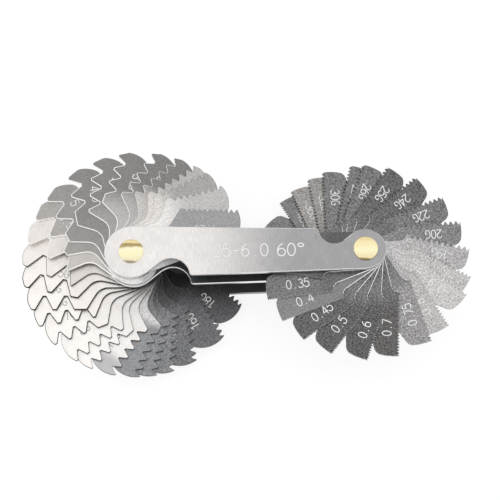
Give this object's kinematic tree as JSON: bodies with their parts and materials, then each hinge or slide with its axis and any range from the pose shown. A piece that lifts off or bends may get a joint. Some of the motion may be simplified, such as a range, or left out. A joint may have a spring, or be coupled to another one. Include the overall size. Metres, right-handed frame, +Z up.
{
  "type": "thread pitch gauge",
  "caption": "Pocket thread pitch gauge: slim steel handle plates riveted at each end, with fans of toothed metric and inch blades that fold out from between them.",
  "frame": {"origin": "on the axis of the rivet that carries the coarse blades, in the flat of its lower head", "axes": "+X toward the rivet that carries the fine blades, +Y across the handle, +Z up through the stack of plates and blades"},
  "size_m": [0.1067, 0.0536, 0.0188],
  "materials": {
    "plate_steel": "satin, lightly brushed across the handle",
    "metric_blade_steel": "satin spring steel, finely grained",
    "inch_blade_steel": "satin spring steel, finely grained",
    "rivet_brass": "polished"
  },
  "bodies": {
    "handle": {"front_plate": "plate_steel", "middle_plate": "plate_steel", "back_plate": "plate_steel", "coarse_rivet": "rivet_brass", "fine_rivet": "rivet_brass"},
    "metric_blade_1_25": {"metric_blade_1_25": "metric_blade_steel"},
    "metric_blade_1_5": {"metric_blade_1_5": "metric_blade_steel"},
    "metric_blade_1_75": {"metric_blade_1_75": "metric_blade_steel"},
    "metric_blade_2_0": {"metric_blade_2_0": "metric_blade_steel"},
    "metric_blade_2_5": {"metric_blade_2_5": "metric_blade_steel"},
    "metric_blade_3_0": {"metric_blade_3_0": "metric_blade_steel"},
    "metric_blade_3_5": {"metric_blade_3_5": "metric_blade_steel"},
    "metric_blade_4_0": {"metric_blade_4_0": "metric_blade_steel"},
    "metric_blade_4_5": {"metric_blade_4_5": "metric_blade_steel"},
    "metric_blade_5_0": {"metric_blade_5_0": "metric_blade_steel"},
    "metric_blade_5_5": {"metric_blade_5_5": "metric_blade_steel"},
    "metric_blade_6_0": {"metric_blade_6_0": "metric_blade_steel"},
    "inch_blade_4": {"inch_blade_4": "inch_blade_steel"},
    "inch_blade_4_5": {"inch_blade_4_5": "inch_blade_steel"},
    "inch_blade_5": {"inch_blade_5": "inch_blade_steel"},
    "inch_blade_6": {"inch_blade_6": "inch_blade_steel"},
    "inch_blade_7": {"inch_blade_7": "inch_blade_steel"},
    "inch_blade_8": {"inch_blade_8": "inch_blade_steel"},
    "inch_blade_9": {"inch_blade_9": "inch_blade_steel"},
    "inch_blade_10": {"inch_blade_10": "inch_blade_steel"},
    "inch_blade_11": {"inch_blade_11": "inch_blade_steel"},
    "inch_blade_12": {"inch_blade_12": "inch_blade_steel"},
    "inch_blade_13": {"inch_blade_13": "inch_blade_steel"},
    "inch_blade_14": {"inch_blade_14": "inch_blade_steel"},
    "inch_blade_16": {"inch_blade_16": "inch_blade_steel"},
    "inch_blade_18": {"inch_blade_18": "inch_blade_steel"},
    "metric_blade_0_25": {"metric_blade_0_25": "metric_blade_steel"},
    "metric_blade_0_3": {"metric_blade_0_3": "metric_blade_steel"},
    "metric_blade_0_35": {"metric_blade_0_35": "metric_blade_steel"},
    "metric_blade_0_4": {"metric_blade_0_4": "metric_blade_steel"},
    "metric_blade_0_45": {"metric_blade_0_45": "metric_blade_steel"},
    "metric_blade_0_5": {"metric_blade_0_5": "metric_blade_steel"},
    "metric_blade_0_6": {"metric_blade_0_6": "metric_blade_steel"},
    "metric_blade_0_7": {"metric_blade_0_7": "metric_blade_steel"},
    "metric_blade_0_75": {"metric_blade_0_75": "metric_blade_steel"},
    "metric_blade_0_8": {"metric_blade_0_8": "metric_blade_steel"},
    "metric_blade_0_9": {"metric_blade_0_9": "metric_blade_steel"},
    "metric_blade_1_0": {"metric_blade_1_0": "metric_blade_steel"},
    "inch_blade_19": {"inch_blade_19": "inch_blade_steel"},
    "inch_blade_20": {"inch_blade_20": "inch_blade_steel"},
    "inch_blade_22": {"inch_blade_22": "inch_blade_steel"},
    "inch_blade_24": {"inch_blade_24": "inch_blade_steel"},
    "inch_blade_25": {"inch_blade_25": "inch_blade_steel"},
    "inch_blade_26": {"inch_blade_26": "inch_blade_steel"},
    "inch_blade_28": {"inch_blade_28": "inch_blade_steel"},
    "inch_blade_30": {"inch_blade_30": "inch_blade_steel"},
    "inch_blade_32": {"inch_blade_32": "inch_blade_steel"},
    "inch_blade_36": {"inch_blade_36": "inch_blade_steel"},
    "inch_blade_40": {"inch_blade_40": "inch_blade_steel"},
    "inch_blade_48": {"inch_blade_48": "inch_blade_steel"},
    "inch_blade_60": {"inch_blade_60": "inch_blade_steel"},
    "inch_blade_62": {"inch_blade_62": "inch_blade_steel"}
  },
  "joints": [
    {"name": "metric_blade_1_25_pivot", "type": "hinge", "parent": "handle", "child": "metric_blade_1_25", "pos_m": [0, 0, 0.01671], "axis": [0, 0, 1], "range_deg": [-21.2, 338.8]},
    {"name": "metric_blade_1_5_pivot", "type": "hinge", "parent": "handle", "child": "metric_blade_1_5", "pos_m": [0, 0, 0.0162], "axis": [0, 0, 1], "range_deg": [-35.5, 324.5]},
    {"name": "metric_blade_1_75_pivot", "type": "hinge", "parent": "handle", "child": "metric_blade_1_75", "pos_m": [0, 0, 0.01569], "axis": [0, 0, 1], "range_deg": [-44.9, 315.1]},
    {"name": "metric_blade_2_0_pivot", "type": "hinge", "parent": "handle", "child": "metric_blade_2_0", "pos_m": [0, 0, 0.01517], "axis": [0, 0, 1], "range_deg": [-53.9, 306.1]},
    {"name": "metric_blade_2_5_pivot", "type": "hinge", "parent": "handle", "child": "metric_blade_2_5", "pos_m": [0, 0, 0.01466], "axis": [0, 0, 1], "range_deg": [-65.5, 294.5]},
    {"name": "metric_blade_3_0_pivot", "type": "hinge", "parent": "handle", "child": "metric_blade_3_0", "pos_m": [0, 0, 0.01415], "axis": [0, 0, 1], "range_deg": [-76.8, 283.2]},
    {"name": "metric_blade_3_5_pivot", "type": "hinge", "parent": "handle", "child": "metric_blade_3_5", "pos_m": [0, 0, 0.01364], "axis": [0, 0, 1], "range_deg": [-93.3, 266.7]},
    {"name": "metric_blade_4_0_pivot", "type": "hinge", "parent": "handle", "child": "metric_blade_4_0", "pos_m": [0, 0, 0.01314], "axis": [0, 0, 1], "range_deg": [-109.2, 250.8]},
    {"name": "metric_blade_4_5_pivot", "type": "hinge", "parent": "handle", "child": "metric_blade_4_5", "pos_m": [0, 0, 0.01263], "axis": [0, 0, 1], "range_deg": [-123.5, 236.5]},
    {"name": "metric_blade_5_0_pivot", "type": "hinge", "parent": "handle", "child": "metric_blade_5_0", "pos_m": [0, 0, 0.01212], "axis": [0, 0, 1], "range_deg": [-140.2, 219.8]},
    {"name": "metric_blade_5_5_pivot", "type": "hinge", "parent": "handle", "child": "metric_blade_5_5", "pos_m": [0, 0, 0.01161], "axis": [0, 0, 1], "range_deg": [-152.6, 207.4]},
    {"name": "metric_blade_6_0_pivot", "type": "hinge", "parent": "handle", "child": "metric_blade_6_0", "pos_m": [0, 0, 0.0111], "axis": [0, 0, 1], "range_deg": [-165.8, 194.2]},
    {"name": "inch_blade_4_pivot", "type": "hinge", "parent": "handle", "child": "inch_blade_4", "pos_m": [0, 0, 0.00951], "axis": [0, 0, 1], "range_deg": [-177.8, 182.2]},
    {"name": "inch_blade_4_5_pivot", "type": "hinge", "parent": "handle", "child": "inch_blade_4_5", "pos_m": [0, 0, 0.00894], "axis": [0, 0, 1], "range_deg": [-190.3, 169.7]},
    {"name": "inch_blade_5_pivot", "type": "hinge", "parent": "handle", "child": "inch_blade_5", "pos_m": [0, 0, 0.00838], "axis": [0, 0, 1], "range_deg": [-202.6, 157.4]},
    {"name": "inch_blade_6_pivot", "type": "hinge", "parent": "handle", "child": "inch_blade_6", "pos_m": [0, 0, 0.00781], "axis": [0, 0, 1], "range_deg": [-212.9, 147.1]},
    {"name": "inch_blade_7_pivot", "type": "hinge", "parent": "handle", "child": "inch_blade_7", "pos_m": [0, 0, 0.00724], "axis": [0, 0, 1], "range_deg": [-223.3, 136.7]},
    {"name": "inch_blade_8_pivot", "type": "hinge", "parent": "handle", "child": "inch_blade_8", "pos_m": [0, 0, 0.00666], "axis": [0, 0, 1], "range_deg": [-237.6, 122.4]},
    {"name": "inch_blade_9_pivot", "type": "hinge", "parent": "handle", "child": "inch_blade_9", "pos_m": [0, 0, 0.00609], "axis": [0, 0, 1], "range_deg": [-247, 113]},
    {"name": "inch_blade_10_pivot", "type": "hinge", "parent": "handle", "child": "inch_blade_10", "pos_m": [0, 0, 0.00553], "axis": [0, 0, 1], "range_deg": [-258.4, 101.6]},
    {"name": "inch_blade_11_pivot", "type": "hinge", "parent": "handle", "child": "inch_blade_11", "pos_m": [0, 0, 0.00496], "axis": [0, 0, 1], "range_deg": [-268.4, 91.6]},
    {"name": "inch_blade_12_pivot", "type": "hinge", "parent": "handle", "child": "inch_blade_12", "pos_m": [0, 0, 0.00439], "axis": [0, 0, 1], "range_deg": [-277.6, 82.4]},
    {"name": "inch_blade_13_pivot", "type": "hinge", "parent": "handle", "child": "inch_blade_13", "pos_m": [0, 0, 0.00381], "axis": [0, 0, 1], "range_deg": [-287.9, 72.1]},
    {"name": "inch_blade_14_pivot", "type": "hinge", "parent": "handle", "child": "inch_blade_14", "pos_m": [0, 0, 0.00325], "axis": [0, 0, 1], "range_deg": [-302, 58]},
    {"name": "inch_blade_16_pivot", "type": "hinge", "parent": "handle", "child": "inch_blade_16", "pos_m": [0, 0, 0.00267], "axis": [0, 0, 1], "range_deg": [-320.8, 39.2]},
    {"name": "inch_blade_18_pivot", "type": "hinge", "parent": "handle", "child": "inch_blade_18", "pos_m": [0, 0, 0.00211], "axis": [0, 0, 1], "range_deg": [-340.5, 19.5]},
    {"name": "metric_blade_0_25_pivot", "type": "hinge", "parent": "handle", "child": "metric_blade_0_25", "pos_m": [0.0546, 0, 0.01671], "axis": [0, 0, 1], "range_deg": [-1.2, 358.8]},
    {"name": "metric_blade_0_3_pivot", "type": "hinge", "parent": "handle", "child": "metric_blade_0_3", "pos_m": [0.0546, 0, 0.0162], "axis": [0, 0, 1], "range_deg": [-9.7, 350.3]},
    {"name": "metric_blade_0_35_pivot", "type": "hinge", "parent": "handle", "child": "metric_blade_0_35", "pos_m": [0.0546, 0, 0.01569], "axis": [0, 0, 1], "range_deg": [-27.5, 332.5]},
    {"name": "metric_blade_0_4_pivot", "type": "hinge", "parent": "handle", "child": "metric_blade_0_4", "pos_m": [0.0546, 0, 0.01517], "axis": [0, 0, 1], "range_deg": [-41, 319]},
    {"name": "metric_blade_0_45_pivot", "type": "hinge", "parent": "handle", "child": "metric_blade_0_45", "pos_m": [0.0546, 0, 0.01466], "axis": [0, 0, 1], "range_deg": [-55.7, 304.3]},
    {"name": "metric_blade_0_5_pivot", "type": "hinge", "parent": "handle", "child": "metric_blade_0_5", "pos_m": [0.0546, 0, 0.01415], "axis": [0, 0, 1], "range_deg": [-71.6, 288.4]},
    {"name": "metric_blade_0_6_pivot", "type": "hinge", "parent": "handle", "child": "metric_blade_0_6", "pos_m": [0.0546, 0, 0.01364], "axis": [0, 0, 1], "range_deg": [-90.3, 269.7]},
    {"name": "metric_blade_0_7_pivot", "type": "hinge", "parent": "handle", "child": "metric_blade_0_7", "pos_m": [0.0546, 0, 0.01314], "axis": [0, 0, 1], "range_deg": [-106.8, 253.2]},
    {"name": "metric_blade_0_75_pivot", "type": "hinge", "parent": "handle", "child": "metric_blade_0_75", "pos_m": [0.0546, 0, 0.01263], "axis": [0, 0, 1], "range_deg": [-126.2, 233.8]},
    {"name": "metric_blade_0_8_pivot", "type": "hinge", "parent": "handle", "child": "metric_blade_0_8", "pos_m": [0.0546, 0, 0.01212], "axis": [0, 0, 1], "range_deg": [-139, 221]},
    {"name": "metric_blade_0_9_pivot", "type": "hinge", "parent": "handle", "child": "metric_blade_0_9", "pos_m": [0.0546, 0, 0.01161], "axis": [0, 0, 1], "range_deg": [-158.8, 201.2]},
    {"name": "metric_blade_1_0_pivot", "type": "hinge", "parent": "handle", "child": "metric_blade_1_0", "pos_m": [0.0546, 0, 0.0111], "axis": [0, 0, 1], "range_deg": [-169.4, 190.6]},
    {"name": "inch_blade_19_pivot", "type": "hinge", "parent": "handle", "child": "inch_blade_19", "pos_m": [0.0546, 0, 0.00951], "axis": [0, 0, 1], "range_deg": [-186.7, 173.3]},
    {"name": "inch_blade_20_pivot", "type": "hinge", "parent": "handle", "child": "inch_blade_20", "pos_m": [0.0546, 0, 0.00894], "axis": [0, 0, 1], "range_deg": [-202.8, 157.2]},
    {"name": "inch_blade_22_pivot", "type": "hinge", "parent": "handle", "child": "inch_blade_22", "pos_m": [0.0546, 0, 0.00838], "axis": [0, 0, 1], "range_deg": [-220.1, 139.9]},
    {"name": "inch_blade_24_pivot", "type": "hinge", "parent": "handle", "child": "inch_blade_24", "pos_m": [0.0546, 0, 0.00781], "axis": [0, 0, 1], "range_deg": [-238.5, 121.5]},
    {"name": "inch_blade_25_pivot", "type": "hinge", "parent": "handle", "child": "inch_blade_25", "pos_m": [0.0546, 0, 0.00724], "axis": [0, 0, 1], "range_deg": [-255, 105]},
    {"name": "inch_blade_26_pivot", "type": "hinge", "parent": "handle", "child": "inch_blade_26", "pos_m": [0.0546, 0, 0.00666], "axis": [0, 0, 1], "range_deg": [-268.1, 91.9]},
    {"name": "inch_blade_28_pivot", "type": "hinge", "parent": "handle", "child": "inch_blade_28", "pos_m": [0.0546, 0, 0.00609], "axis": [0, 0, 1], "range_deg": [-275.2, 84.8]},
    {"name": "inch_blade_30_pivot", "type": "hinge", "parent": "handle", "child": "inch_blade_30", "pos_m": [0.0546, 0, 0.00553], "axis": [0, 0, 1], "range_deg": [-291, 69]},
    {"name": "inch_blade_32_pivot", "type": "hinge", "parent": "handle", "child": "inch_blade_32", "pos_m": [0.0546, 0, 0.00496], "axis": [0, 0, 1], "range_deg": [-300.1, 59.9]},
    {"name": "inch_blade_36_pivot", "type": "hinge", "parent": "handle", "child": "inch_blade_36", "pos_m": [0.0546, 0, 0.00439], "axis": [0, 0, 1], "range_deg": [-311.4, 48.6]},
    {"name": "inch_blade_40_pivot", "type": "hinge", "parent": "handle", "child": "inch_blade_40", "pos_m": [0.0546, 0, 0.00381], "axis": [0, 0, 1], "range_deg": [-320.1, 39.9]},
    {"name": "inch_blade_48_pivot", "type": "hinge", "parent": "handle", "child": "inch_blade_48", "pos_m": [0.0546, 0, 0.00325], "axis": [0, 0, 1], "range_deg": [-337.2, 22.8]},
    {"name": "inch_blade_60_pivot", "type": "hinge", "parent": "handle", "child": "inch_blade_60", "pos_m": [0.0546, 0, 0.00267], "axis": [0, 0, 1], "range_deg": [-348.2, 11.8]},
    {"name": "inch_blade_62_pivot", "type": "hinge", "parent": "handle", "child": "inch_blade_62", "pos_m": [0.0546, 0, 0.00211], "axis": [0, 0, 1], "range_deg": [-356.2, 3.8]}
  ]
}
